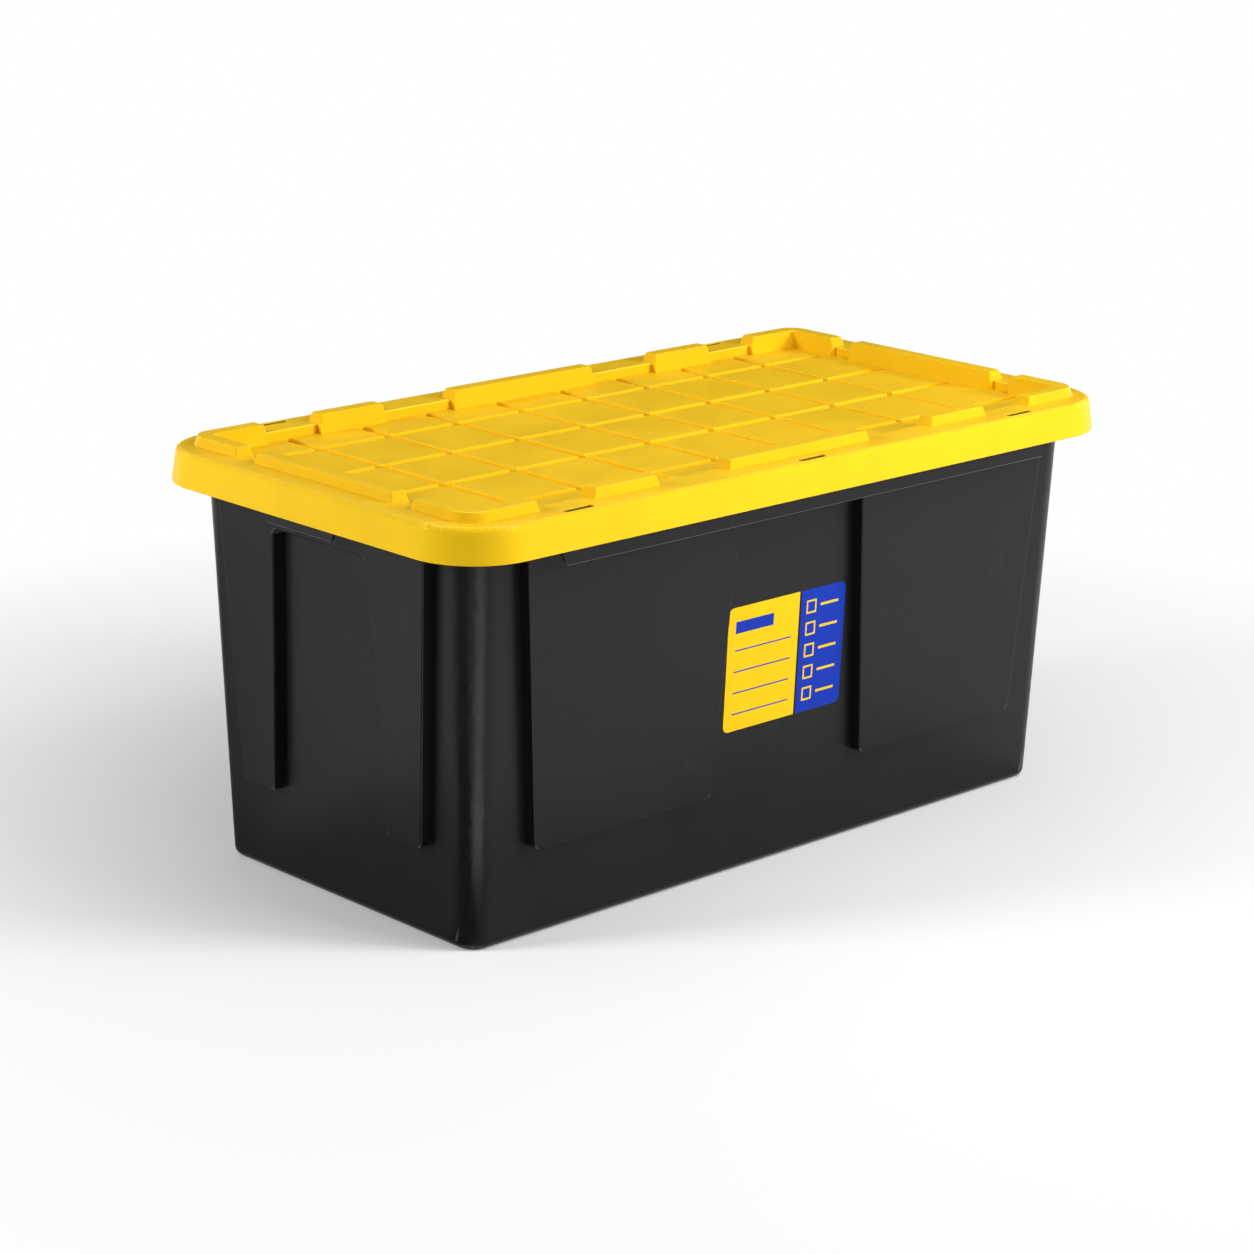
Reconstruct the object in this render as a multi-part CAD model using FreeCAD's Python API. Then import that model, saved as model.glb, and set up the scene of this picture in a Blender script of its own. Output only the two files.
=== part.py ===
import FreeCAD
import Part

import math
import os

from FreeCAD import Vector

# A storage tote in millimetres: a tub with leaning walls, a lid that caps its rim and lifts
# straight off, and a contents label on the front wall. +Z is up, +X runs along the long side,
# the front is -Y, and the origin is the middle of the underside.

# Tub shell
BASE_LENGTH = 917.0  # across the end walls at the underside, before the edge is rounded
BASE_WIDTH = 428.0  # across the long walls, the same way
TUB_HEIGHT = 477.0  # underside to the top of the rim
WALL_LEAN = 20.0  # how far each wall leans out over the height of the tub
TUB_WALL = 3.0
FLOOR = 3.5
BASE_CORNER = 26.0  # plan radius of the tub's corners at the underside
MOUTH_CORNER = 40.0  # and at the rim
BASE_EDGE = 10.0  # rounding between the walls and the underside
FOOT_WIDTH = 32.0  # ring round the underside that the tub stands on
FOOT_HEIGHT = 2.5
FOOT_CORNER = 16.0

# Raised panels, two on each long wall
SIDE_PANEL_MARGIN = 73.5  # from the end of the wall to a panel, along their lower edges
SIDE_PANEL_GAP = 242.0  # flat of the wall between the two panels, measured the same way
SIDE_PANEL_FOOT = 105.0  # height of the panel's lower edge
SIDE_PANEL_ANGLE = 4.2  # degrees that its upright edges open towards the rim
SIDE_PANEL_STEP = 14.0  # how far it stands out from the wall

# Raised arch on each end wall: two pilasters joined by a collar under the rim
PILASTER_MARGIN = 60.0  # from the side of the wall to a pilaster, along their lower edges
PILASTER_FOOT_WIDTH = 57.0
PILASTER_FOOT = 107.0
PILASTER_ANGLE = 3.5
COLLAR_DEPTH = 62.0  # from the rim down to the collar's lower edge
ARCH_STEP = 14.0
PANEL_CORNER = 7.0  # rounding of the corners of a panel's outline
PANEL_EDGE = 2.0  # rounding along the edges of its face

# Rim with its down-turned lip, which hangs lower along the grips
RIM_WIDTH = 31.0  # from the wall to the outside of the lip
RIM_LIP = 24.0  # depth of the lip, from the top of the rim
RIM_EDGE = 3.0
SIDE_GRIP_MARGIN = 70.5  # from the end of the base to the end of a long side's grip
SIDE_GRIP_DEPTH = 51.0
END_GRIP_LENGTH = 128.0
END_GRIP_DEPTH = 46.0
GRIP_SLANT = 9.0  # how far a grip's ends run in towards its lower edge
GRIP_CORNER = 5.0
LIP_EDGE = 1.0  # rounding along the lip's lower edge

# Lid shell
LID_WALL = 3.0
LID_PLAY = 1.2  # between the lid's skirt and the tub's lip
PLUG_PLAY = 4.5  # between the sunken part of the lid and the tub's mouth
STACK_PLAY = 0.5  # between the stacking bars and the base of a tub stacked on the lid
LID_CORNER = 75.0  # plan radius of the lid's corners at the height of the rim
SKIRT_DEPTH = 38.5  # from the top of the flange to the lower edge of the skirt
SKIRT_FLARE = 5.6  # how far the skirt opens out over that depth
SKIRT_EDGE = 7.0  # rounding between the flange and the skirt
HEM_EDGE = 1.2  # rounding of the skirt's lower edge

# Stacking bars round the top of the lid
BAR_HEIGHT = 11.0  # above the flange
BAR_WIDTH = 26.0  # at the foot
BAR_OUTER_DRAFT = 3.0
BAR_INNER_DRAFT = 4.0
BAR_END_DRAFT = 3.5  # how far a bar's ends run in over its height
BAR_EDGE = 2.0
LEDGE_EDGE = 1.5  # rounding of the flange where it drops to the tiles between two bars
LUG_LENGTH = 97.0  # a corner lug's leg along the long side
LUG_WIDTH = 93.5  # and along the short side
SLOT_GAP = 76.0  # between a lug and the next bar of the long side, with a lock slot beside it
SIDE_BAR_LENGTH = 96.0
CENTRE_GAP = 104.0  # between that bar and the centre bar, which takes up the rest of the side
END_GAP = 29.5  # between a lug and the bar of the short side, which takes up the rest
LUG_OUTER_CORNER = 25.0
LUG_INNER_CORNER = 4.0

# Sunken field of tiles between the bars: full columns, and rows with a half row at each side
RECESS_DEPTH = 11.5  # from the top of the flange to the tiles
TILE_COLUMNS = 9
TILE_ROWS = 4
GROOVE_WIDTH = 8.5
GROOVE_DEPTH = 4.5
TILE_CORNER = 3.0
TILE_EDGE = 2.6
TILE_BITE = 0.9  # share of the wall round the field that the outermost tiles run into

# Lock slots through the lid's flange and the tub's rim
SLOT_LENGTH = 42.0
SLOT_WIDTH = 9.0
SLOT_OFFSET = 23.0  # from the tub's wall to the middle of a slot
SLOT_RELIEF = 2.0  # chamfer round a slot on the underside of the lid

# Contents label on the flat of the front wall between the panels
LABEL_WIDTH = 188.0
LABEL_HEIGHT = 146.0
LABEL_CORNER = 8.0
LABEL_FILM = 0.3
LABEL_CENTRE = 244.0

THROUGH = 1.0  # overrun of a cut past the face that it opens
SAME = 1e-4  # lengths that differ by less than this are equal

mouth_x = BASE_LENGTH / 2 + WALL_LEAN
mouth_y = BASE_WIDTH / 2 + WALL_LEAN
rim_x = mouth_x + RIM_WIDTH
rim_y = mouth_y + RIM_WIDTH
flange_z = TUB_HEIGHT + LID_WALL
skirt_z = flange_z - SKIRT_DEPTH
tile_z = flange_z - RECESS_DEPTH
groove_z = tile_z - GROOVE_DEPTH
plate_z = groove_z - LID_WALL
bar_z = flange_z + BAR_HEIGHT
field_x = BASE_LENGTH / 2 + STACK_PLAY
field_y = BASE_WIDTH / 2 + STACK_PLAY
ledge_x = mouth_x - TUB_WALL - PLUG_PLAY - LID_WALL
ledge_y = mouth_y - TUB_WALL - PLUG_PLAY - LID_WALL
lug_x = field_x + BAR_WIDTH - LUG_LENGTH
lug_y = field_y + BAR_WIDTH - LUG_WIDTH
side_bar_end = lug_x - SLOT_GAP
side_bar_start = side_bar_end - SIDE_BAR_LENGTH
centre_bar_end = side_bar_start - CENTRE_GAP
end_bar_end = lug_y - END_GAP


def turned(shape, degrees):
    """Copy of a shape turned about the Z axis."""
    copy = shape.copy()
    copy.rotate(Vector(), Vector(0, 0, 1), degrees)
    return copy


def outline(half_x, half_y, radius, z):
    """Rounded rectangle round the Z axis, as a closed wire."""
    edges = []
    for degrees in (0, 90, 180, 270):
        along, across = (half_x, half_y) if degrees % 180 == 0 else (half_y, half_x)
        start = Vector(radius - along, -across, z)
        end = Vector(along - radius, -across, z)
        middle = Vector(along - radius, radius - across, z)
        bend = middle + Vector(radius, -radius, 0) * math.sqrt(0.5)
        side = Part.LineSegment(start, end).toShape()
        corner = Part.Arc(end, bend, middle + Vector(radius, 0, 0)).toShape()
        edges += [turned(side, degrees), turned(corner, degrees)]
    return Part.Wire(edges)


def flattened(face):
    """A flat face as a true plane, facing the same way; a curved face as it is."""
    plane = face.OuterWire.findPlane()
    if plane is None:
        return face
    flat = Part.Face(plane, face.OuterWire)
    outward = face.normalAt(*face.Surface.parameter(face.CenterOfMass))
    if flat.normalAt(0, 0).dot(outward) < 0:
        flat.reverse()
    return flat


def block(lower, upper):
    """Solid with straight sides from one outline up to another."""
    loft = Part.makeLoft([lower, upper], True, True)
    return Part.makeSolid(Part.makeShell([flattened(face) for face in loft.Faces]))


def edges_at(shape, z):
    """Edges that lie flat at one height."""
    return [e for e in shape.Edges if max(abs(e.BoundBox.ZMin - z), abs(e.BoundBox.ZMax - z)) < SAME]


def box_between(x0, x1, y0, y1, z0, z1):
    """Box from its lowest corner to its highest."""
    return Part.makeBox(x1 - x0, y1 - y0, z1 - z0, Vector(x0, y0, z0))


def tub_outline(z, inset):
    """Outside of the tub's walls at one height, drawn in by an inset."""
    rise = z / TUB_HEIGHT
    reach = WALL_LEAN * rise - inset
    radius = BASE_CORNER + (MOUTH_CORNER - BASE_CORNER) * rise - inset
    return outline(BASE_LENGTH / 2 + reach, BASE_WIDTH / 2 + reach, radius, z)


def skirt_outline(z, inset):
    """Outside of the lid's skirt at one height, drawn in by an inset."""
    flare = SKIRT_FLARE * (TUB_HEIGHT - z) / SKIRT_DEPTH
    reach = RIM_WIDTH + LID_PLAY + LID_WALL + flare - inset
    return outline(mouth_x + reach, mouth_y + reach, LID_CORNER + flare - inset, z)


def bar_outer_outline(z, inset):
    """Outer faces of the stacking bars at one height, drawn in by an inset."""
    reach = BAR_WIDTH - BAR_OUTER_DRAFT * (z - flange_z) / BAR_HEIGHT - inset
    return outline(field_x + reach, field_y + reach, LUG_OUTER_CORNER - inset, z)


def bar_inner_outline(z, outset):
    """Inner faces of the stacking bars at one height, pushed out by an outset."""
    reach = BAR_INNER_DRAFT * (z - groove_z) / (bar_z - groove_z) + outset
    return outline(field_x + reach, field_y + reach, LUG_INNER_CORNER + outset, z)


def wall_wire(points, half):
    """Closed wire on the outer face of the front wall, from (along, height) points."""
    corners = [Vector(u, -half - WALL_LEAN * z / TUB_HEIGHT, z) for u, z in points]
    return Part.makePolygon(corners + corners[:1])


def wall_pad(wire, half, back, front, corner, edge):
    """Pad on the front wall between two distances from its face, with its outline and face edges rounded."""
    def distance(vertex):
        return -vertex.Y - half - WALL_LEAN * vertex.Z / TUB_HEIGHT

    pad = Part.Face(wire)
    pad.translate(Vector(0, -back, 0))
    pad = pad.extrude(Vector(0, back - front, 0))
    below_top = pad.BoundBox.ZMax - SAME
    sides = [e for e in pad.Edges if abs(distance(e.Vertexes[0]) - distance(e.Vertexes[-1])) > SAME]
    pad = pad.makeFillet(corner, [e for e in sides if e.BoundBox.ZMax < below_top])
    if edge == 0:
        return pad
    face = [e for e in pad.Edges if min(distance(v) for v in e.Vertexes) > front - SAME]
    return pad.makeFillet(edge, [e for e in face if e.BoundBox.ZMin < below_top])


def side_panel_points(top):
    """Outline of the right-hand raised panel of the long wall, up to a given height."""
    inner = SIDE_PANEL_GAP / 2
    outer = BASE_LENGTH / 2 - SIDE_PANEL_MARGIN
    spread = (top - SIDE_PANEL_FOOT) * math.tan(math.radians(SIDE_PANEL_ANGLE))
    return [
        (inner, SIDE_PANEL_FOOT),
        (outer, SIDE_PANEL_FOOT),
        (outer + spread, top),
        (inner - spread, top),
    ]


def arch_points(top):
    """Outline of the raised arch of the end wall, up to a given height."""
    slope = math.tan(math.radians(PILASTER_ANGLE))
    collar = TUB_HEIGHT - COLLAR_DEPTH
    outer = BASE_WIDTH / 2 - PILASTER_MARGIN
    inner = outer - PILASTER_FOOT_WIDTH
    right = [
        (inner - (collar - PILASTER_FOOT) * slope, collar),
        (inner, PILASTER_FOOT),
        (outer, PILASTER_FOOT),
        (outer + (top - PILASTER_FOOT) * slope, top),
    ]
    return right + [(-u, z) for u, z in reversed(right)]


def wall_relief(points_up_to, half, step):
    """A raised pad of the wall, and the hollow behind it that keeps the wall even."""
    face = wall_wire(points_up_to(TUB_HEIGHT), half)
    pad = wall_pad(face, half, -TUB_WALL / 2, step, PANEL_CORNER, PANEL_EDGE)
    over = TUB_HEIGHT + 2 * TUB_WALL
    back = wall_wire(points_up_to(over), half).makeOffset2D(-TUB_WALL, 2)
    hollow = wall_pad(back, half, -TUB_WALL - THROUGH, step - TUB_WALL, PANEL_CORNER - TUB_WALL, 0)
    return pad, hollow


def lip_ring(depth):
    """The down-turned lip, all the way round, to a given depth below the top of the rim."""
    outer = LID_WALL + LID_PLAY
    low = TUB_HEIGHT - depth
    ring = block(skirt_outline(low, outer), skirt_outline(TUB_HEIGHT, outer))
    ring = ring.makeFillet(RIM_EDGE, edges_at(ring, TUB_HEIGHT))
    inner = outer + TUB_WALL
    hollow = block(skirt_outline(low - THROUGH, inner), skirt_outline(TUB_HEIGHT - TUB_WALL, inner))
    ring = ring.cut(hollow)
    return ring.makeFillet(LIP_EDGE, edges_at(ring, low))


def grips(length, depth, degrees):
    """Two facing stretches of deeper lip with slanted, rounded ends."""
    low = TUB_HEIGHT - depth
    top = TUB_HEIGHT - TUB_WALL
    half = length / 2
    reach = 2 * mouth_x
    points = [
        Vector(-half - GRIP_SLANT, -reach, top),
        Vector(GRIP_SLANT - half, -reach, low),
        Vector(half - GRIP_SLANT, -reach, low),
        Vector(half + GRIP_SLANT, -reach, top),
    ]
    slab = Part.Face(Part.makePolygon(points + points[:1])).extrude(Vector(0, 2 * reach, 0))
    corners = [e for e in slab.Edges if e.BoundBox.ZMax < low + SAME and e.BoundBox.YLength > SAME]
    slab = slab.makeFillet(GRIP_CORNER, corners)
    return lip_ring(depth).common(turned(slab, degrees))


def slot_face(x, y, z, growth=0):
    """Long hole with round ends, flat at one height, widened all round by a growth."""
    radius = SLOT_WIDTH / 2 + growth
    reach = (SLOT_LENGTH - SLOT_WIDTH) / 2
    ends = [Vector(x + side * reach, y, z) for side in (-1, 1)]
    across = Vector(0, radius, 0)
    along = Vector(radius, 0, 0)
    return Part.Face(Part.Wire([
        Part.LineSegment(ends[0] - across, ends[1] - across).toShape(),
        Part.Arc(ends[1] - across, ends[1] + along, ends[1] + across).toShape(),
        Part.LineSegment(ends[1] + across, ends[0] + across).toShape(),
        Part.Arc(ends[0] + across, ends[0] - along, ends[0] - across).toShape(),
    ]))


def slot_places():
    """Middles of the lock slots: on each long side, at its middle and in each gap beside a corner lug."""
    gap_middle = (side_bar_end + lug_x) / 2
    return [(x, side * (mouth_y + SLOT_OFFSET)) for x in (-gap_middle, 0, gap_middle) for side in (-1, 1)]


def slots():
    """Lock slots straight through the lid's flange and the tub's rim."""
    low = TUB_HEIGHT - TUB_WALL - THROUGH
    cut = Vector(0, 0, TUB_WALL + LID_WALL + 2 * THROUGH)
    return [slot_face(x, y, low).extrude(cut) for x, y in slot_places()]


def slot_reliefs():
    """Chamfers round the slots on the underside of the lid's flange."""
    wide = TUB_HEIGHT - THROUGH
    narrow = TUB_HEIGHT + SLOT_RELIEF
    return [
        block(slot_face(x, y, wide, narrow - wide).OuterWire, slot_face(x, y, narrow).OuterWire)
        for x, y in slot_places()
    ]


def floor_plate(inset, low, high):
    """Middle of the floor inside the foot ring, drawn in by an inset, between two heights."""
    half_x = BASE_LENGTH / 2 - FOOT_WIDTH - inset
    half_y = BASE_WIDTH / 2 - FOOT_WIDTH - inset
    plan = Part.Face(outline(half_x, half_y, FOOT_CORNER - inset, low))
    return plan.extrude(Vector(0, 0, high - low))


def tub():
    """The tub as one moulding: walls, panels, rim, lip, grips, floor and foot ring."""
    shell = block(tub_outline(0, 0), tub_outline(TUB_HEIGHT, 0))
    shell = shell.makeFillet(BASE_EDGE, edges_at(shell, 0))
    inside = block(tub_outline(FLOOR, TUB_WALL), tub_outline(TUB_HEIGHT + THROUGH, TUB_WALL))
    inside = inside.makeFillet(BASE_EDGE - TUB_WALL, edges_at(inside, FLOOR))
    raised = []
    hollows = [inside]
    right_hand = wall_relief(side_panel_points, BASE_WIDTH / 2, SIDE_PANEL_STEP)
    left_hand = [shape.mirror(Vector(), Vector(1, 0, 0)) for shape in right_hand]
    for pad, hollow in (right_hand, left_hand):
        raised += [pad, turned(pad, 180)]
        hollows += [hollow, turned(hollow, 180)]
    pad, hollow = wall_relief(arch_points, BASE_LENGTH / 2, ARCH_STEP)
    raised += [turned(pad, 90), turned(pad, -90)]
    hollows += [turned(hollow, 90), turned(hollow, -90)]
    rim = [
        lip_ring(RIM_LIP),
        grips(BASE_LENGTH - 2 * SIDE_GRIP_MARGIN, SIDE_GRIP_DEPTH, 0),
        grips(END_GRIP_LENGTH, END_GRIP_DEPTH, 90),
    ]
    shell = shell.fuse(raised + rim).cut(hollows + slots())
    shell = shell.fuse(floor_plate(0, 0, FOOT_HEIGHT + FLOOR))
    return shell.cut(floor_plate(FLOOR, -THROUGH, FOOT_HEIGHT)).removeSplitter()


def bar_gaps(margin):
    """Spans between neighbouring bars as (from, to), along the long sides and along the short sides."""
    def both_ways(gaps):
        spans = [(start - margin, end + margin) for start, end in gaps]
        return spans + [(-end, -start) for start, end in spans]

    long_gaps = [(centre_bar_end, side_bar_start), (side_bar_end, lug_x)]
    short_gaps = [(end_bar_end, lug_y)]
    return both_ways(long_gaps), both_ways(short_gaps)


def gap_boxes(margin, reach_x, reach_y, low):
    """Boxes that clear the gaps between bars, out to a given reach and up from a given height."""
    long_gaps, short_gaps = bar_gaps(margin)
    high = bar_z + THROUGH
    boxes = []
    for start, end in long_gaps:
        boxes.append(box_between(start, end, 0, reach_y, low, high))
        boxes.append(box_between(start, end, -reach_y, 0, low, high))
    for start, end in short_gaps:
        boxes.append(box_between(0, reach_x, start, end, low, high))
        boxes.append(box_between(-reach_x, 0, start, end, low, high))
    return boxes


def end_wedges(low):
    """Wedges that part the bars above the flange, wider at the top by the draft of the bars' ends."""
    long_gaps, short_gaps = bar_gaps(0)
    rise = (bar_z + THROUGH - flange_z) / BAR_HEIGHT
    drop = (low - flange_z) / BAR_HEIGHT

    def wedge(start, end, reach):
        points = [
            Vector(start - BAR_END_DRAFT * drop, 0, low),
            Vector(end + BAR_END_DRAFT * drop, 0, low),
            Vector(end + BAR_END_DRAFT * rise, 0, bar_z + THROUGH),
            Vector(start - BAR_END_DRAFT * rise, 0, bar_z + THROUGH),
        ]
        return Part.Face(Part.makePolygon(points + points[:1])).extrude(Vector(0, reach, 0))

    wedges = []
    for start, end in long_gaps:
        wedges += [wedge(start, end, rim_y), wedge(start, end, -rim_y)]
    for start, end in short_gaps:
        wedges += [turned(wedge(start, end, rim_x), 90), turned(wedge(start, end, -rim_x), 90)]
    return wedges


def end_edges(bar):
    """Upright edges at the ends of a bar."""
    long_gaps, short_gaps = bar_gaps(BAR_END_DRAFT)
    ends_x = [x for span in long_gaps for x in span]
    ends_y = [y for span in short_gaps for y in span]

    def at_end(vertex):
        return min(abs(vertex.X - x) for x in ends_x) < SAME or min(abs(vertex.Y - y) for y in ends_y) < SAME

    upright = [e for e in bar.Edges if e.BoundBox.ZLength > SAME]
    return [e for e in upright if at_end(max(e.Vertexes, key=lambda vertex: vertex.Z))]


def bars():
    """The stacking bars and corner lugs above the flange, with drafted ends and rounded edges."""
    low = flange_z - LID_WALL / 2
    ring = block(bar_outer_outline(low, 0), bar_outer_outline(bar_z, 0))
    ring = ring.cut(block(bar_inner_outline(groove_z, 0), bar_inner_outline(bar_z, 0)))
    parted = ring.cut(end_wedges(low))
    return [bar.makeFillet(BAR_EDGE, end_edges(bar) + edges_at(bar, bar_z)) for bar in parted.Solids]


def bar_hollows():
    """Hollows under the bars, open below, that leave an even wall."""
    low = plate_z - THROUGH
    high = bar_z - LID_WALL
    ring = block(bar_outer_outline(low, LID_WALL), bar_outer_outline(high, LID_WALL))
    core = block(bar_inner_outline(low - THROUGH, LID_WALL), bar_inner_outline(high + THROUGH, LID_WALL))
    return ring.cut([core] + gap_boxes(LID_WALL + BAR_END_DRAFT, rim_x, rim_y, low - THROUGH)).Solids


def tile_spans(grooves, margin, edge):
    """Stretches between grooves along one side of the field, drawn in by a margin, out to the edge."""
    side = GROOVE_WIDTH / 2 + margin
    starts = [-edge] + [groove + side for groove in grooves]
    ends = [groove - side for groove in grooves] + [edge]
    return list(zip(starts, ends))


def field_spans(margin, edge_x, edge_y):
    """Tile spans along X and along Y."""
    pitch_x = 2 * field_x / TILE_COLUMNS
    pitch_y = 2 * field_y / TILE_ROWS
    grooves_x = [pitch_x * (column + 1) - field_x for column in range(TILE_COLUMNS - 1)]
    grooves_y = [pitch_y * (row + 1 / 2) - field_y for row in range(TILE_ROWS)]
    return tile_spans(grooves_x, margin, edge_x), tile_spans(grooves_y, margin, edge_y)


def tiles():
    """Raised tiles of the sunken field, the outermost reaching into the walls round it."""
    bite = LID_WALL * TILE_BITE
    spans_x, spans_y = field_spans(0, ledge_x + bite, ledge_y + bite)
    low = groove_z - LID_WALL / 2
    pads = []
    for x0, x1 in spans_x:
        for y0, y1 in spans_y:
            pad = Part.Face(outline((x1 - x0) / 2, (y1 - y0) / 2, TILE_CORNER, low))
            pad.translate(Vector((x0 + x1) / 2, (y0 + y1) / 2, 0))
            pad = pad.extrude(Vector(0, 0, tile_z - low))
            pads.append(pad.makeFillet(TILE_EDGE, edges_at(pad, tile_z)))
    return pads


def tile_hollows():
    """Shallow hollows under the tiles."""
    spans_x, spans_y = field_spans(LID_WALL, field_x - LID_WALL, field_y - LID_WALL)
    return [
        box_between(x0, x1, y0, y1, plate_z - THROUGH, tile_z - LID_WALL)
        for x0, x1 in spans_x
        for y0, y1 in spans_y
    ]


def on_ledge(point):
    """Whether a point lies on the line where the flange drops to the tiles between two bars."""
    return abs(abs(point.x) - ledge_x) < SAME or abs(abs(point.y) - ledge_y) < SAME


def lid():
    """The lid as one moulding: skirt, flange, sunken field, tiles and stacking bars."""
    cap = block(skirt_outline(skirt_z, 0), skirt_outline(flange_z, 0))
    cap = cap.makeFillet(SKIRT_EDGE, edges_at(cap, flange_z))
    cap = cap.cut(block(skirt_outline(skirt_z - THROUGH, LID_WALL), skirt_outline(TUB_HEIGHT, LID_WALL)))
    cap = cap.makeFillet(HEM_EDGE, edges_at(cap, skirt_z))
    plug_corner = MOUTH_CORNER - TUB_WALL - PLUG_PLAY
    plug = Part.Face(outline(ledge_x + LID_WALL, ledge_y + LID_WALL, plug_corner, plate_z))
    cap = cap.fuse(plug.extrude(Vector(0, 0, flange_z - LID_WALL / 2 - plate_z)))
    field = block(bar_inner_outline(groove_z, 0), bar_inner_outline(bar_z, 0))
    cap = cap.cut([field] + gap_boxes(0, ledge_x, ledge_y, groove_z))
    cap = cap.makeFillet(LEDGE_EDGE, [e for e in edges_at(cap, flange_z) if on_ledge(e.CenterOfMass)])
    cap = cap.fuse(tiles() + bars())
    return cap.cut(bar_hollows() + tile_hollows() + slots() + slot_reliefs()).removeSplitter()


def front_label():
    """Thin film with rounded corners, flat on the leaning front wall."""
    plan = Part.Face(outline(LABEL_WIDTH / 2, LABEL_HEIGHT / 2, LABEL_CORNER, 0))
    film = plan.extrude(Vector(0, 0, LABEL_FILM))
    lean = math.degrees(math.atan(WALL_LEAN / TUB_HEIGHT))
    film.rotate(Vector(), Vector(1, 0, 0), 90 + lean)
    film.translate(Vector(0, -BASE_WIDTH / 2 - WALL_LEAN * LABEL_CENTRE / TUB_HEIGHT, LABEL_CENTRE))
    return film


os.makedirs("parts", exist_ok=True)
for name, shape in (("tub", tub()), ("lid", lid()), ("front_label", front_label())):
    shape.exportStep(f"parts/{name}.step")
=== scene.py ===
import math

import bmesh
import bpy
from mathutils import Matrix, Vector


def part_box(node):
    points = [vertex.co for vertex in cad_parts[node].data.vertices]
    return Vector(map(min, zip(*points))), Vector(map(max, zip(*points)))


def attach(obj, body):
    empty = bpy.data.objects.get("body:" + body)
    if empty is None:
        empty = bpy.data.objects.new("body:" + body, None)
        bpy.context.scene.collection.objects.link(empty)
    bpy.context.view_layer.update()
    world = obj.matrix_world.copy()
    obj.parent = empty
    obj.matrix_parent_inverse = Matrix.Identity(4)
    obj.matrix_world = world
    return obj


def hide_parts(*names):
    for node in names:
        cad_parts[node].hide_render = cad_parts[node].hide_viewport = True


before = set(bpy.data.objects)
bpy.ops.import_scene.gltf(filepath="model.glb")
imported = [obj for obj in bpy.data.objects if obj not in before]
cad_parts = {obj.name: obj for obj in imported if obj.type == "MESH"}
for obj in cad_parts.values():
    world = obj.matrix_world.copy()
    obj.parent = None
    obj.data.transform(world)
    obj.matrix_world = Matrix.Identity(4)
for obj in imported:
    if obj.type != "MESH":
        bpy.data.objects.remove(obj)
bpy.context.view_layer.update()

scene = bpy.context.scene

# Tub: one deep injection moulding in black polypropylene, with leaning walls, raised panels
# and a rim turned down into a lip. The mould's spark-eroded skin leaves it satin and finely
# grained. Its narrow edge roundings are a little smoother, and their much lighter colour is a painted
# highlight.
TUB_BLACK = (0.0092, 0.0091, 0.0090)
# colour of the narrow edge roundings, far lighter than the tub's own black: a painted highlight
EDGE_HIGHLIGHT_BLACK = (0.058, 0.058, 0.059)
NEUTRAL_SHEEN = (1, 1, 1)
TUB_GRAIN = 0.0009  # pitch of the moulded grain, in metres
TUB_CLOUD = 0.14  # size of the clouds in the plastic
WELD = 1e-6  # vertices nearer than this are one
COPLANAR = math.radians(0.3)  # faces that differ by less are one flat
FACET_FOLD = math.radians(4)  # the two halves of a rounding's facet differ by less
EDGE_FACET = 30e-6  # largest half facet, in square metres
SOFT_EDGE = math.radians(30)  # faces that differ by less shade as one curve
EDGE_STRIP = 0.0018  # widest facet of an edge's rounding
EDGE_TURN = math.radians(10)  # least turn from such a facet to the next


def moulding(node, name, body, skin, edge_highlight):
    """A CAD node's shape as one welded skin with whole flats, smooth roundings, and narrow edge roundings in
    a second material whose lighter colour is a painted highlight.
    """
    mesh = bpy.data.meshes.new(name)
    bm = bmesh.new()
    bm.from_mesh(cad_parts[node].data)
    bmesh.ops.remove_doubles(bm, verts=bm.verts, dist=WELD)
    bmesh.ops.dissolve_limit(bm, angle_limit=COPLANAR, verts=bm.verts, edges=bm.edges)
    halves = [face for face in bm.faces if len(face.verts) == 3 and face.calc_area() < EDGE_FACET]
    bmesh.ops.join_triangles(
        bm, faces=halves, angle_face_threshold=FACET_FOLD, angle_shape_threshold=math.pi
    )
    bm.normal_update()
    area = {face: face.calc_area() for face in bm.faces}
    shading = []
    for face in bm.faces:
        face.smooth = True
        length = max(edge.calc_length() for edge in face.edges)
        turn = sorted(edge.calc_face_angle(0) for edge in face.edges)[-2]
        strip = len(face.verts) > 3 and area[face] / length < EDGE_STRIP
        # narrow edge roundings take the second material, painted lighter as a highlight
        face.material_index = int(strip and turn > EDGE_TURN)
        for vert in face.verts:
            alike = [f for f in vert.link_faces if f.normal.angle(face.normal, 0) < SOFT_EDGE]
            shading.append(sum((f.normal * area[f] for f in alike), Vector()).normalized())
    bm.to_mesh(mesh)
    bm.free()
    mesh.normals_split_custom_set(shading)
    mesh.materials.append(skin)
    mesh.materials.append(edge_highlight)
    piece = bpy.data.objects.new(name, mesh)
    scene.collection.objects.link(piece)
    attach(piece, body)
    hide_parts(node)


def shader_group(name, inputs, outputs):
    """A new shader node group with named sockets, and the sockets of its two end nodes."""
    group = bpy.data.node_groups.new(name, "ShaderNodeTree")
    for label, kind in inputs.items():
        group.interface.new_socket(label, in_out="INPUT", socket_type="NodeSocket" + kind)
    for label, kind in outputs.items():
        group.interface.new_socket(label, in_out="OUTPUT", socket_type="NodeSocket" + kind)
    given = group.nodes.new("NodeGroupInput").outputs
    made = group.nodes.new("NodeGroupOutput").inputs
    return group, given, made


def place(tree, kind, settings=None, **values):
    """A new node with its settings, and a value or link on each socket; _0 is the first socket."""
    node = tree.nodes.new("ShaderNode" + kind)
    for setting, choice in (settings or {}).items():
        setattr(node, setting, choice)
    for socket, value in values.items():
        by_place = socket[1:].isdigit()
        target = node.inputs[int(socket[1:]) if by_place else socket.replace("_", " ")]
        if isinstance(value, bpy.types.NodeSocket):
            tree.links.new(value, target)
        else:
            target.default_value = value
    return node


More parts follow.
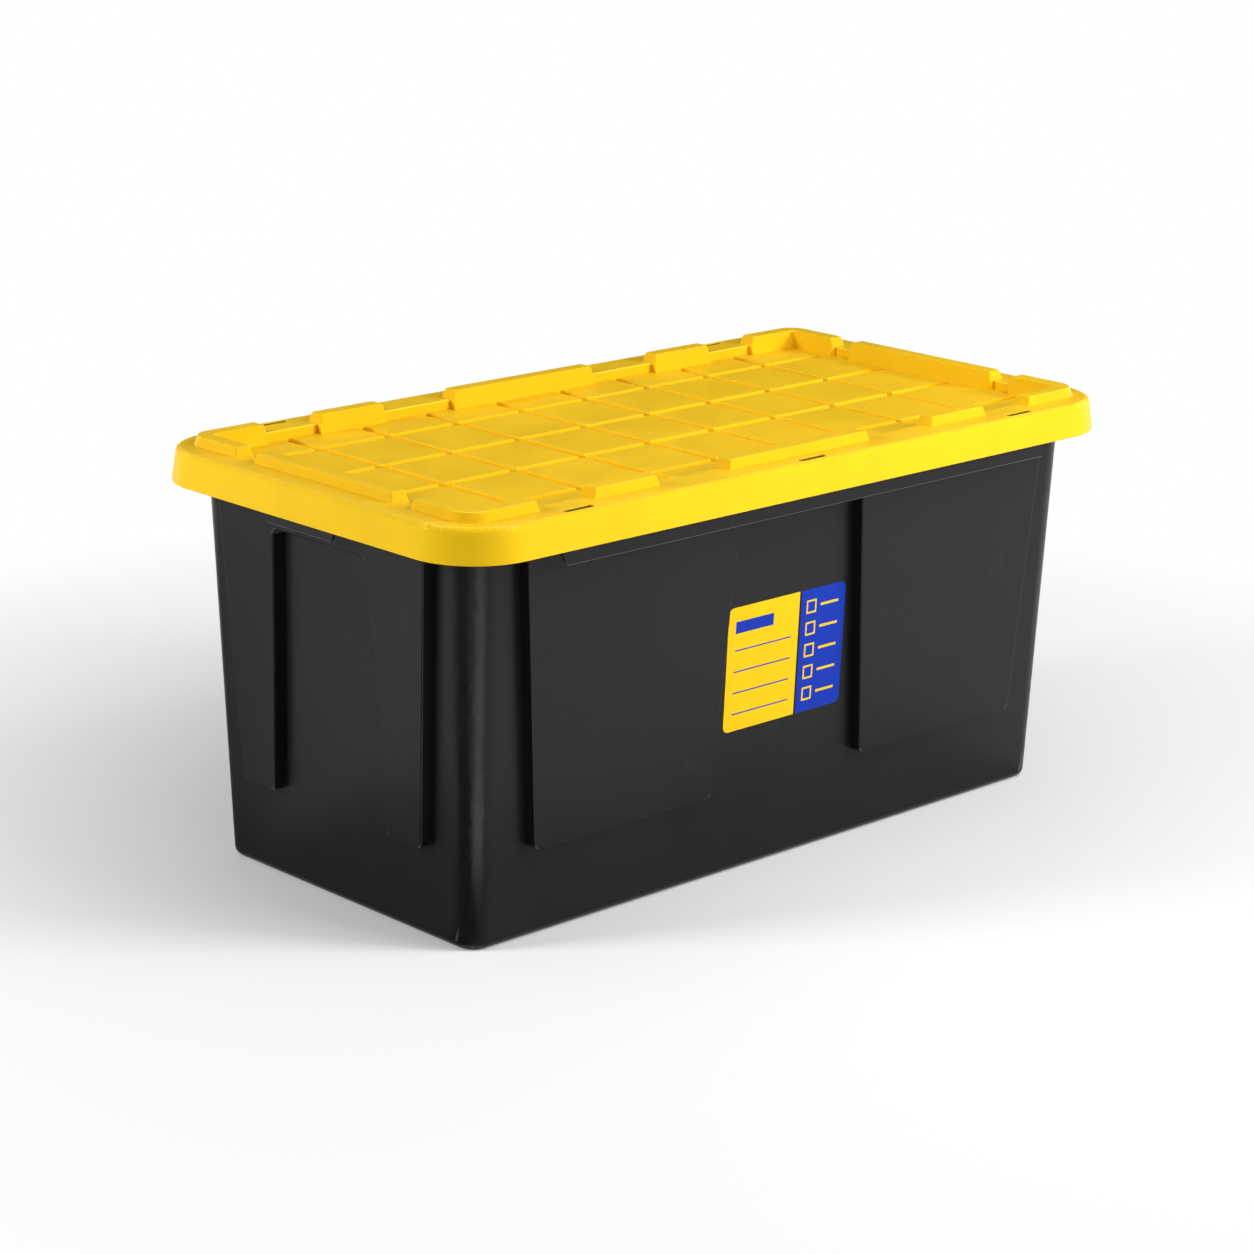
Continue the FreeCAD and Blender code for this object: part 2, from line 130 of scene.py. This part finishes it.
def reckon(tree, operation, *terms):
    """The result of a sum on values or links; MULTIPLY_ADD is the first times the second plus the third."""
    sockets = {f"_{index}": term for index, term in enumerate(terms)}
    return place(tree, "Math", {"operation": operation}, **sockets).outputs[0]


# Skin of the mould: fine sparked pits over a slow ripple.
RIPPLE_PACE = 0.12  # ripples to a pit
RIPPLE_SHARE = 0.8  # height of the ripple beside the pits
mould_skin, given, made = shader_group(
    "mould_skin", {"Vector": "Vector", "Grain": "Float"}, {"Height": "Float"}
)
per_metre = reckon(mould_skin, "DIVIDE", 1.0, given["Grain"])
slower = reckon(mould_skin, "MULTIPLY", per_metre, RIPPLE_PACE)
pits = place(mould_skin, "TexNoise", Vector=given["Vector"], Scale=per_metre, Detail=2.0, Roughness=0.6)
ripple = place(mould_skin, "TexNoise", Vector=given["Vector"], Scale=slower, Detail=1.0, Roughness=0.4)
height = reckon(mould_skin, "MULTIPLY_ADD", ripple.outputs["Fac"], RIPPLE_SHARE, pits.outputs["Fac"])
mould_skin.links.new(height, made["Height"])

# Clouds in the plastic, where the melt flowed in and cooled unevenly.
CLOUD_LOW = 0.3  # noise that counts as the darkest cloud
CLOUD_HIGH = 0.7  # and as the lightest
melt_clouds, given, made = shader_group(
    "melt_clouds",
    {"Vector": "Vector", "Colour": "Color", "Size": "Float", "Depth": "Float"},
    {"Colour": "Color", "Cloud": "Float"},
)
per_metre = reckon(melt_clouds, "DIVIDE", 1.0, given["Size"])
cloud = place(melt_clouds, "TexNoise", Vector=given["Vector"], Scale=per_metre, Detail=4.0, Roughness=0.55,
              Distortion=0.6)
spread = place(melt_clouds, "MapRange", {"interpolation_type": "SMOOTHSTEP"}, Value=cloud.outputs["Fac"],
               From_Min=CLOUD_LOW, From_Max=CLOUD_HIGH, To_Min=-1.0, To_Max=1.0)
lift = reckon(melt_clouds, "MULTIPLY_ADD", spread.outputs[0], given["Depth"], 1.0)
tinted = place(melt_clouds, "HueSaturation", Value=lift, Color=given["Colour"])
melt_clouds.links.new(tinted.outputs[0], made["Colour"])
melt_clouds.links.new(cloud.outputs["Fac"], made["Cloud"])

# Hairline scuffs from stacking and handling: thin broken lines that run mostly one way.
SCUFF_TILT = (0.3, 0.5, 0.4)
SCUFF_STRETCH = (1.0, 1.0, 0.16)
SCUFF_WIDTH = 0.012  # as a share of the spacing
SCUFF_PATCHES = 9.0  # to a metre
PATCH_EDGE = (0.52, 0.68)  # noise where a patch of scuffs begins and where it is full
hairlines, given, made = shader_group(
    "hairlines", {"Vector": "Vector", "Spacing": "Float"}, {"Mask": "Float"}
)
per_metre = reckon(hairlines, "DIVIDE", 1.0, given["Spacing"])
drawn = place(hairlines, "Mapping", Vector=given["Vector"], Rotation=SCUFF_TILT, Scale=SCUFF_STRETCH)
lines = place(hairlines, "TexVoronoi", {"feature": "DISTANCE_TO_EDGE"}, Vector=drawn.outputs[0],
              Scale=per_metre)
thin = place(hairlines, "MapRange", Value=lines.outputs["Distance"], From_Min=SCUFF_WIDTH, From_Max=0.0)
patches = place(hairlines, "TexNoise", Vector=given["Vector"], Scale=SCUFF_PATCHES, Detail=3.0)
broken = place(hairlines, "MapRange", Value=patches.outputs["Fac"], From_Min=PATCH_EDGE[0],
               From_Max=PATCH_EDGE[1])
hairlines.links.new(reckon(hairlines, "MULTIPLY", thin.outputs[0], broken.outputs[0]), made["Mask"])

SCUFF_SPACING = 0.035
SCUFF_POLISH = -0.12  # change of roughness in a scuff
SKIN_STRENGTH = 0.35
SKIN_DEPTH = 0.0002


def moulded_plastic(name, colour, roughness, specular, sheen, grain, cloud_size, cloud_depth, scuff_lift):
    """Satin polypropylene: clouded colour, a grained skin, and hairlines that catch the light."""
    material = bpy.data.materials.new(name)
    material.use_nodes = True
    tree = material.node_tree
    shader = tree.nodes["Principled BSDF"]
    shader.inputs["Specular IOR Level"].default_value = specular
    shader.inputs["Specular Tint"].default_value = (*sheen, 1)
    where = place(tree, "TexCoord").outputs["Object"]
    clouds = place(tree, "Group", {"node_tree": melt_clouds}, Vector=where, Colour=(*colour, 1),
                   Size=cloud_size, Depth=cloud_depth)
    worn = place(tree, "Group", {"node_tree": hairlines}, Vector=where, Spacing=SCUFF_SPACING)
    scuffs = worn.outputs["Mask"]
    faded = reckon(tree, "MULTIPLY_ADD", scuffs, scuff_lift, 1.0)
    lifted = place(tree, "HueSaturation", Value=faded, Color=clouds.outputs["Colour"])
    tree.links.new(lifted.outputs[0], shader.inputs["Base Color"])
    satin = place(tree, "MapRange", Value=clouds.outputs["Cloud"], From_Min=CLOUD_LOW, From_Max=CLOUD_HIGH,
                  To_Min=roughness[0], To_Max=roughness[1])
    polished = reckon(tree, "MULTIPLY_ADD", scuffs, SCUFF_POLISH, satin.outputs[0])
    tree.links.new(polished, shader.inputs["Roughness"])
    skin = place(tree, "Group", {"node_tree": mould_skin}, Vector=where, Grain=grain)
    bump = place(tree, "Bump", Height=skin.outputs["Height"], Strength=SKIN_STRENGTH, Distance=SKIN_DEPTH)
    tree.links.new(bump.outputs[0], shader.inputs["Normal"])
    return material


black = moulded_plastic(
    "black_polypropylene", TUB_BLACK, roughness=(0.30, 0.38), specular=0.22, sheen=NEUTRAL_SHEEN,
    grain=TUB_GRAIN, cloud_size=TUB_CLOUD, cloud_depth=0.08, scuff_lift=0.5,
)
highlit_black_edge = moulded_plastic(
    "black_painted_highlight", EDGE_HIGHLIGHT_BLACK, roughness=(0.28, 0.36), specular=0.3, sheen=NEUTRAL_SHEEN,
    grain=TUB_GRAIN, cloud_size=TUB_CLOUD, cloud_depth=0.2, scuff_lift=0.5,
)
moulding("tub", "tub_shell", "tub", black, highlit_black_edge)

# Contents label: a thin printed film stuck on the flat of the front wall, between the panels.
# It has a field of ruled lines to write on and a column of boxes to tick.
FILM_YELLOW = (0.84, 0.53, 0.004)
FILM_BLUE = (0.006, 0.034, 0.38)
LABEL_CORNER = 0.008
CORNER_SEGMENTS = 8
LABEL_FILM = 0.0003
WALL_LEAN = 0.020
TUB_HEIGHT = 0.477
FIELD_RIGHT = 0.019  # the printed places are measured from the middle of the label
COLUMN_LEFT = 0.022
LINE_LEFT = -0.082
TITLE_RIGHT = -0.022
TITLE_LOW = 0.042
TITLE_HIGH = 0.056
RULE_RIGHT = 0.008
RULE_HALF = 0.0008
RULES = [0.022, -0.003, -0.028, -0.053]
TICK_MIDDLE = 0.039
TICK_HALF = 0.008
TICK_LINE = 0.0022
NOTE_LEFT = 0.054
NOTE_RIGHT = 0.083
NOTE_HALF = 0.0015
TICK_ROWS = [0.052, 0.026, 0.0, -0.026, -0.052]
wall_slope = math.atan2(WALL_LEAN, TUB_HEIGHT)
low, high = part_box("front_label")
half_width = (high.x - low.x) / 2
half_height = (high.z - low.z) / 2 / math.cos(wall_slope)

# Printed rectangles as (left, right, low, high, ink); a later one prints over an earlier one.
YELLOW, BLUE, BARE = 0, 1, 2
tick_hole = TICK_HALF - TICK_LINE
prints = [
    (-1, FIELD_RIGHT, -1, 1, YELLOW),
    (FIELD_RIGHT, COLUMN_LEFT, -1, 1, BARE),
    (COLUMN_LEFT, 1, -1, 1, BLUE),
    (LINE_LEFT, TITLE_RIGHT, TITLE_LOW, TITLE_HIGH, BLUE),
]
for v in RULES:
    prints.append((LINE_LEFT, RULE_RIGHT, v - RULE_HALF, v + RULE_HALF, BLUE))
for v in TICK_ROWS:
    prints.append((TICK_MIDDLE - TICK_HALF, TICK_MIDDLE + TICK_HALF, v - TICK_HALF, v + TICK_HALF, YELLOW))
    prints.append((TICK_MIDDLE - tick_hole, TICK_MIDDLE + tick_hole, v - tick_hole, v + tick_hole, BLUE))
    prints.append((NOTE_LEFT, NOTE_RIGHT, v - NOTE_HALF, v + NOTE_HALF, YELLOW))


def ink(u, v):
    """The ink on top at a point of the label."""
    return [p[4] for p in prints if p[0] <= u <= p[1] and p[2] <= v <= p[3]][-1]


bm = bmesh.new()
bmesh.ops.create_grid(bm, x_segments=1, y_segments=1, size=1)
bmesh.ops.scale(bm, vec=(half_width, half_height, 1), verts=bm.verts)
bmesh.ops.bevel(
    bm, geom=bm.verts[:], offset=LABEL_CORNER, affect="VERTICES", segments=CORNER_SEGMENTS, profile=0.5,
    material=-1,
)
for across, sides in ((Vector((1, 0, 0)), (0, 1)), (Vector((0, 1, 0)), (2, 3))):
    for edge in sorted({p[side] for p in prints for side in sides}):
        whole = bm.verts[:] + bm.edges[:] + bm.faces[:]
        bmesh.ops.bisect_plane(bm, geom=whole, plane_co=across * edge, plane_no=across)
for face in bm.faces:
    middle = face.calc_center_median()
    face.material_index = ink(middle.x, middle.y)
film = bmesh.ops.extrude_face_region(bm, geom=bm.faces[:])
raised = [part for part in film["geom"] if isinstance(part, bmesh.types.BMVert)]
bmesh.ops.translate(bm, vec=(0, 0, LABEL_FILM), verts=raised)
bmesh.ops.recalc_face_normals(bm, faces=bm.faces)
seat = Matrix.Translation((0, (low.y + high.y) / 2, (low.z + high.z) / 2))
upright = Matrix.Rotation(math.pi / 2 + wall_slope, 4, "X")
centred = Matrix.Translation((0, 0, -LABEL_FILM / 2))
bmesh.ops.transform(bm, matrix=seat @ upright @ centred, verts=bm.verts)
label_mesh = bpy.data.meshes.new("contents_label")
bm.to_mesh(label_mesh)
bm.free()
label = bpy.data.objects.new("contents_label", label_mesh)
scene.collection.objects.link(label)
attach(label, "tub")
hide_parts("front_label")
for name, colour in (("yellow_ink", FILM_YELLOW), ("blue_ink", FILM_BLUE), ("bare_film", TUB_BLACK)):
    printed = moulded_plastic(
        name, colour, roughness=(0.30, 0.38), specular=0.1, sheen=NEUTRAL_SHEEN, grain=0.0016,
        cloud_size=0.03, cloud_depth=0.03, scuff_lift=0.0,
    )
    label_mesh.materials.append(printed)

# Lid: one shallow moulding in yellow polypropylene. Its skirt snaps over the tub's lip, and the
# bars round its tiled top keep a second tote from sliding off. It lifts straight up.
LID_YELLOW = (0.89, 0.55, 0.011)
# colour of the lid's narrow edge roundings, lighter than its own yellow: a painted highlight
EDGE_HIGHLIGHT_YELLOW = (0.97, 0.68, 0.04)
LID_SHEEN = (1.0, 0.72, 0.22)
LID_GRAIN = 0.0009
LID_CLOUD = 0.09
yellow = moulded_plastic(
    "yellow_polypropylene", LID_YELLOW, roughness=(0.34, 0.44), specular=0.25, sheen=LID_SHEEN,
    grain=LID_GRAIN, cloud_size=LID_CLOUD, cloud_depth=0.03, scuff_lift=0.06,
)
highlit_yellow_edge = moulded_plastic(
    "yellow_painted_highlight", EDGE_HIGHLIGHT_YELLOW, roughness=(0.3, 0.4), specular=0.35, sheen=LID_SHEEN,
    grain=LID_GRAIN, cloud_size=LID_CLOUD, cloud_depth=0.05, scuff_lift=0.06,
)
moulding("lid", "lid_shell", "lid", yellow, highlit_yellow_edge)

# Studio: a pale paper floor under a white backdrop, lit by soft boxes before the front wall, by the
# left end and above, and by dim light from all round. Black flags that the camera doesn't see are
# reflected in the plastic, which gives the lid its depth. Sheets over the floor that show only in the
# plastic's shine are painted reflections, and paint the near corner's dark and bright bands.
PAPER = 0.9
PAPER_GLOW = 0.10  # share of the paper near the tote that is plain white
PAPER_FROM = 0.5  # distance from the tote at which that share starts to grow
WHITE_FROM = 1.45  # distance from which the paper is all white
FLOOR_SIZE = 60
ROOM_LIGHT = 0.32
VELVET = 0.01


def bare_material(name):
    """A new material with no shader yet, and its node tree."""
    material = bpy.data.materials.new(name)
    material.use_nodes = True
    tree = material.node_tree
    tree.nodes.remove(tree.nodes["Principled BSDF"])
    return material, tree


def mix_surface(tree, share, first, second):
    """Gives a material's surface the first shader where the share is 0 and the second where it is 1."""
    mixed = place(tree, "MixShader", _0=share, _1=first.outputs[0], _2=second.outputs[0])
    tree.links.new(mixed.outputs[0], tree.nodes["Material Output"].inputs["Surface"])


def studio_sheet(name, width, length, placing, finish, taper=1.0):
    """A flat sheet of the studio, with its +Y end narrowed by the taper, moved to its place."""
    mesh = bpy.data.meshes.new(name)
    bm = bmesh.new()
    bmesh.ops.create_grid(bm, x_segments=1, y_segments=1, size=1)
    bmesh.ops.scale(bm, vec=(width / 2, length / 2, 1), verts=bm.verts)
    bmesh.ops.scale(bm, vec=(taper, 1, 1), verts=[vert for vert in bm.verts if vert.co.y > 0])
    bmesh.ops.transform(bm, matrix=placing, verts=bm.verts)
    bm.to_mesh(mesh)
    bm.free()
    mesh.materials.append(finish)
    sheet = bpy.data.objects.new(name, mesh)
    scene.collection.objects.link(sheet)


def seen_directly(tree):
    """1 for what the camera, a reflection or a look through glass sees; 0 for light that bounces."""
    path = place(tree, "LightPath").outputs
    straight = reckon(tree, "MAXIMUM", path["Is Camera Ray"], path["Is Glossy Ray"])
    return reckon(tree, "MAXIMUM", straight, path["Is Transmission Ray"])


paper, tree = bare_material("white_paper")
matt = place(tree, "BsdfDiffuse", Color=(PAPER, PAPER, PAPER, 1))
glow = place(tree, "Emission")
away = place(tree, "VectorMath", {"operation": "LENGTH"}, _0=place(tree, "TexCoord").outputs["Object"])
sweep = place(tree, "MapRange", Value=away.outputs["Value"], From_Min=PAPER_FROM, From_Max=WHITE_FROM,
              To_Min=PAPER_GLOW, To_Max=1.0)
mix_surface(tree, reckon(tree, "MULTIPLY", seen_directly(tree), sweep.outputs[0]), matt, glow)
studio_sheet("paper_floor", FLOOR_SIZE, FLOOR_SIZE, Matrix.Identity(4), paper)

world = bpy.data.worlds.new("white_backdrop")
scene.world = world
world.use_nodes = True
tree = world.node_tree
strength = place(tree, "MapRange", Value=seen_directly(tree), To_Min=ROOM_LIGHT, To_Max=1.0)
tree.links.new(strength.outputs[0], tree.nodes["Background"].inputs["Strength"])
tree.nodes["Background"].inputs["Color"].default_value = (1, 1, 1, 1)


def outward(azimuth, elevation):
    """The way out from the tote, in degrees; azimuth 0 is before the front wall, 90 to its right."""
    turn = math.radians(azimuth)
    rise = math.radians(elevation)
    return Vector((math.sin(turn) * math.cos(rise), -math.cos(turn) * math.cos(rise), math.sin(rise)))


LAMP_AIM = Vector((0, 0, 0.3))


def soft_box(name, azimuth, elevation, distance, width, height, power):
    """A soft box aimed at the middle of the tote, whose own glare stays out of the plastic."""
    way = outward(azimuth, elevation)
    lamp = bpy.data.lights.new(name, "AREA")
    lamp.shape = "RECTANGLE"
    lamp.size = width
    lamp.size_y = height
    lamp.energy = power
    lamp_object = bpy.data.objects.new(name, lamp)
    aimed = way.to_track_quat("Z", "Y").to_matrix().to_4x4()
    lamp_object.matrix_world = Matrix.Translation(LAMP_AIM + distance * way) @ aimed
    lamp_object.visible_glossy = False
    scene.collection.objects.link(lamp_object)


soft_box("front_box", azimuth=34, elevation=21, distance=4.0, width=1.2, height=0.9, power=106)
soft_box("end_box", azimuth=-112, elevation=22, distance=3.5, width=0.9, height=0.9, power=66)
soft_box("top_box", azimuth=10, elevation=50, distance=1.75, width=1.0, height=0.6, power=13)

velvet, tree = bare_material("black_velvet")
nap = place(tree, "BsdfDiffuse", Color=(VELVET, VELVET, VELVET, 1))
unseen = place(tree, "BsdfTransparent")
mix_surface(tree, place(tree, "LightPath").outputs["Is Camera Ray"], nap, unseen)


def black_flag(name, azimuth, distance, width, height, clearance):
    """An upright black flag facing the tote, its foot held clear of the floor."""
    turned = Matrix.Rotation(math.radians(azimuth), 4, "Z")
    moved = Matrix.Translation((0, -distance, clearance + height / 2))
    studio_sheet(name, width, height, turned @ moved @ Matrix.Rotation(math.pi / 2, 4, "X"), velvet)


black_flag("camera_flag", azimuth=-64, distance=4.6, width=8.0, height=3.6, clearance=0.0)
black_flag("back_flag", azimuth=137, distance=3.2, width=4.4, height=1.9, clearance=0.35)


def reflection_sheet(name, foot, azimuth, length, width, taper, lift, brightness):
    """A sheet just over the floor, tapering towards its foot, seen only in the tote's shine: a painted
    reflection that glows at the given brightness.
    """
    finish, tree = bare_material(name)
    shine = place(tree, "LightPath").outputs["Is Glossy Ray"]
    mix_surface(tree, shine, place(tree, "BsdfTransparent"), place(tree, "Emission", Strength=brightness))
    turned = Matrix.Translation((*foot, 0)) @ Matrix.Rotation(math.radians(azimuth), 4, "Z")
    moved = Matrix.Translation((0, -length / 2, lift))
    studio_sheet(name, width, length, turned @ moved, finish, taper)


BASE_X = 0.46  # half the length of the tub's base
BASE_Y = 0.215  # and half its width
WHITE_FOOT = (-0.52, -0.38)
LOW, MIDDLE, TOP = 0.001, 0.002, 0.003  # heights of cards that lie over each other
# painted reflections: sheets dimmer than the paper by the front wall and the left end, near black off the
# left corners
reflection_sheet("front_painted_reflection", (0, -BASE_Y), azimuth=0, length=0.25, width=0.92, taper=1, lift=LOW, brightness=0.45)
reflection_sheet("end_painted_reflection", (-BASE_X, 0), azimuth=-90, length=0.3, width=0.43, taper=1, lift=LOW, brightness=0.2)
reflection_sheet("corner_black_reflection", (-BASE_X, -BASE_Y), azimuth=-82, length=1.4, width=1.1, taper=0.1,
           lift=MIDDLE, brightness=0.0)
# glows only in reflections, painting a bright band on the near corner
reflection_sheet("corner_white_reflection", WHITE_FOOT, azimuth=-20, length=1.2, width=0.75, taper=0.2,
           lift=TOP, brightness=4.2)
reflection_sheet("far_black_reflection", (-BASE_X, BASE_Y), azimuth=-165, length=1.4, width=1.1, taper=0.1,
           lift=MIDDLE, brightness=0.15)

# Camera: a long lens a little above the lid, looking at the near corner between front and left end.
AZIMUTH = -43.703
ELEVATION = 16.229
ROLL = math.radians(0.875)
DISTANCE = 3.9989
TARGET = Vector((-0.0241, 0.0088, 0.2314))
LENS = 97.99
SENSOR = 36
back = outward(AZIMUTH, ELEVATION)
right = Vector((0, 0, 1)).cross(back).normalized()
facing = Matrix((right, back.cross(right), back)).transposed() @ Matrix.Rotation(ROLL, 3, "Z")
camera_data = bpy.data.cameras.new("camera")
camera_data.lens = LENS
camera_data.sensor_width = SENSOR
camera = bpy.data.objects.new("camera", camera_data)
camera.matrix_world = Matrix.Translation(TARGET + back * DISTANCE) @ facing.to_4x4()
scene.collection.objects.link(camera)
scene.camera = camera
scene.view_settings.view_transform = "Standard"
